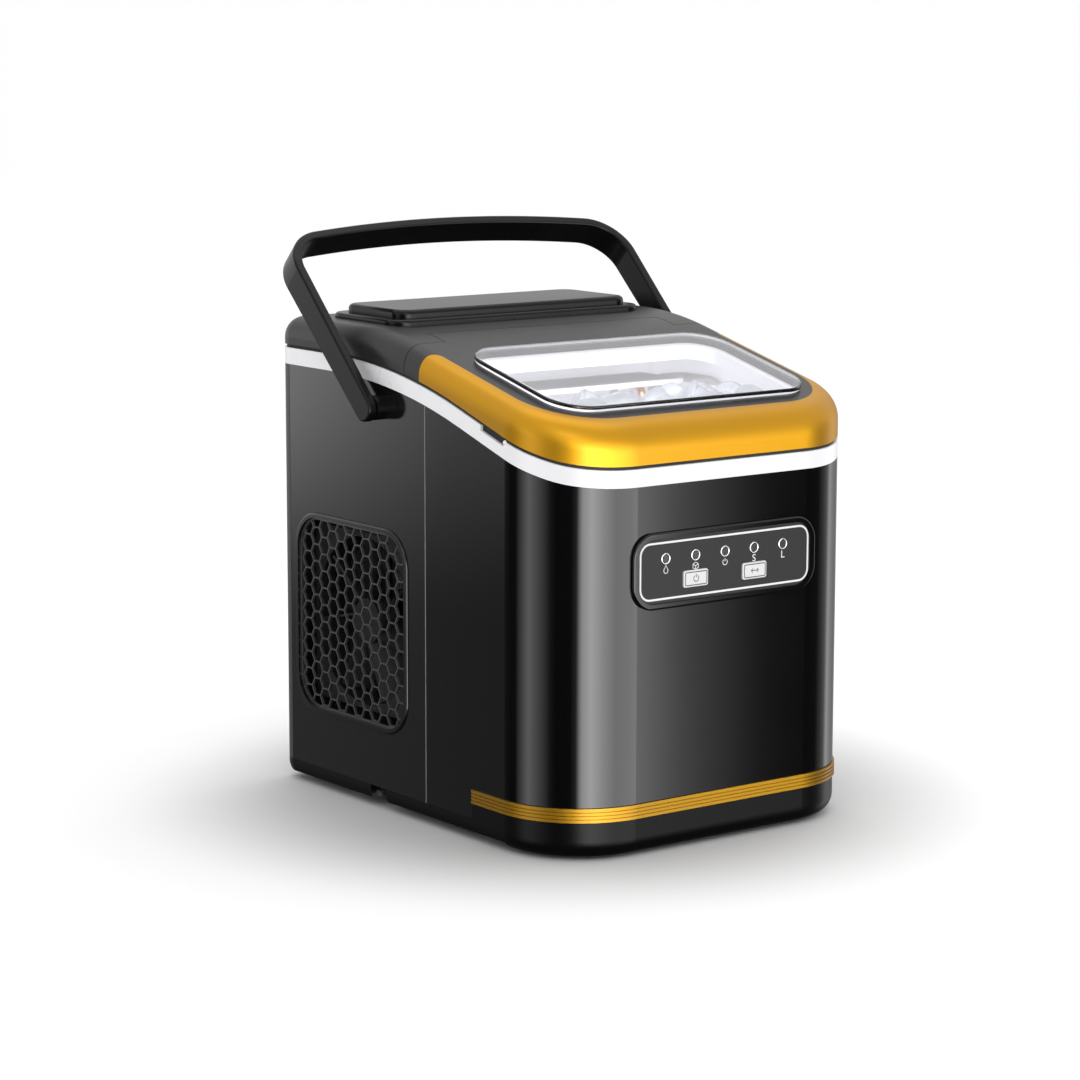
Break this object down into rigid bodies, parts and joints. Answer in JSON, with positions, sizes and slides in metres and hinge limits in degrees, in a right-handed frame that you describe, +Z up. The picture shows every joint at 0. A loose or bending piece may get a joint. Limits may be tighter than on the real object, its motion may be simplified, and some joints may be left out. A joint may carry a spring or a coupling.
{
  "type": "ice maker",
  "caption": "Countertop ice maker with a sloping hinged lid and window, a carrying handle, a front control panel, vented sides, a lift-out basket and a full freezing unit inside.",
  "frame": {"origin": "under the middle of the body's outline, on the surface that it stands on", "axes": "+Z up, -Y is the front with the control panel, +X is to the right of someone who faces the front"},
  "size_m": [0.2472, 0.284, 0.3313],
  "materials": {
    "gloss_black": "gloss",
    "side_black": "gloss",
    "base_black": "gloss",
    "band_white": "satin",
    "gold": "satin metallic",
    "satin_black": "satin",
    "clear_window": "clear plastic",
    "liner_white": "satin",
    "basket_white": "satin",
    "overlay_grey": "satin film",
    "button_white": "satin",
    "lens": "clear",
    "gasket": "matte",
    "foot_rubber": "matte",
    "grille_black": "satin",
    "steel": "brushed",
    "cold_steel": "plated",
    "copper": "bare",
    "aluminium": "mill",
    "can_black": "satin",
    "board_green": "lacquer",
    "inner_plastic": "satin",
    "silicone": "clear"
  },
  "bodies": {
    "cabinet": {"base_tray": "base_black", "feet": "foot_rubber", "base_screws": "steel", "base_trim": "gold", "front_shell": "gloss_black", "left_side_panel": "side_black", "right_side_panel": "side_black", "back_panel": "satin_black", "back_screws": "steel", "waist_band": "band_white", "top_gasket": "gasket", "vent_bezel_left": "side_black", "vent_grille_left": "grille_black", "vent_bezel_right": "side_black", "vent_grille_right": "grille_black", "top_housing": "satin_black", "lid_hinge_pins": "steel", "mechanism_cover": "satin_black", "handle_pivot_left": "satin_black", "handle_pivot_right": "satin_black", "panel_bezel": "gloss_black", "panel_overlay": "overlay_grey", "indicator_lenses": "lens", "control_board": "board_green", "inner_tub": "liner_white", "mechanism_frame": "inner_plastic", "evaporator": "cold_steel", "tray_motor": "steel", "water_pump": "can_black", "water_hose": "silicone", "ice_full_sensor": "inner_plastic", "drain_spout": "inner_plastic", "drain_hose": "silicone", "fan_shroud": "grille_black", "fan_motor": "can_black", "condenser": "aluminium", "compressor": "can_black", "compressor_mounts": "foot_rubber", "discharge_pipe": "copper", "suction_pipe": "copper", "liquid_line": "copper", "capillary_tube": "copper", "filter_drier": "copper", "power_board": "board_green", "cord_gland": "grille_black"},
    "lid": {"lid_shell": "satin_black", "lid_trim": "gold", "lid_window": "clear_window", "lid_inner_frame": "liner_white"},
    "handle": {"carry_handle": "satin_black"},
    "on_off": {"on_off_button": "button_white"},
    "select": {"select_button": "button_white"},
    "basket": {"ice_basket": "basket_white"},
    "tray": {"water_tray": "inner_plastic"},
    "shovel": {"ice_shovel": "inner_plastic"},
    "fan": {"fan_rotor": "grille_black"},
    "plug": {"drain_plug": "foot_rubber"}
  },
  "joints": [
    {"name": "lid_hinge", "type": "hinge", "parent": "cabinet", "child": "lid", "pos_m": [0, 0.0175, 0.2677], "axis": [-1, 0, 0], "range_deg": [0, 90]},
    {"name": "handle_swing", "type": "hinge", "parent": "cabinet", "child": "handle", "pos_m": [0, 0.0298, 0.2336], "axis": [1, 0, 0], "range_deg": [0, 46]},
    {"name": "on_off_press", "type": "slide", "parent": "cabinet", "child": "on_off", "axis": [0, 1, 0], "range_m": [0, 0.0008], "stiffness_N_per_m": 600},
    {"name": "select_press", "type": "slide", "parent": "cabinet", "child": "select", "axis": [0, 1, 0], "range_m": [0, 0.0008], "stiffness_N_per_m": 600},
    {"name": "basket_lift", "type": "slide", "parent": "cabinet", "child": "basket", "axis": [0, 0, 1], "range_m": [0, 0.008]},
    {"name": "tray_tilt", "type": "hinge", "parent": "cabinet", "child": "tray", "pos_m": [0, 0.0105, 0.205], "axis": [1, 0, 0], "range_deg": [0, 70]},
    {"name": "shovel_swing", "type": "hinge", "parent": "cabinet", "child": "shovel", "pos_m": [0, -0.0215, 0.228], "axis": [-1, 0, 0], "range_deg": [0, 35]},
    {"name": "fan_spin", "type": "hinge", "parent": "cabinet", "child": "fan", "pos_m": [-0.0925, 0.061, 0.105], "axis": [1, 0, 0], "continuous": true},
    {"name": "plug_pull", "type": "slide", "parent": "cabinet", "child": "plug", "axis": [-1, 0, 0], "range_m": [0, 0.025]}
  ],
  "couplings": [
    {"joint": "shovel_swing", "follows": "tray_tilt", "ratio": 0.5}
  ]
}
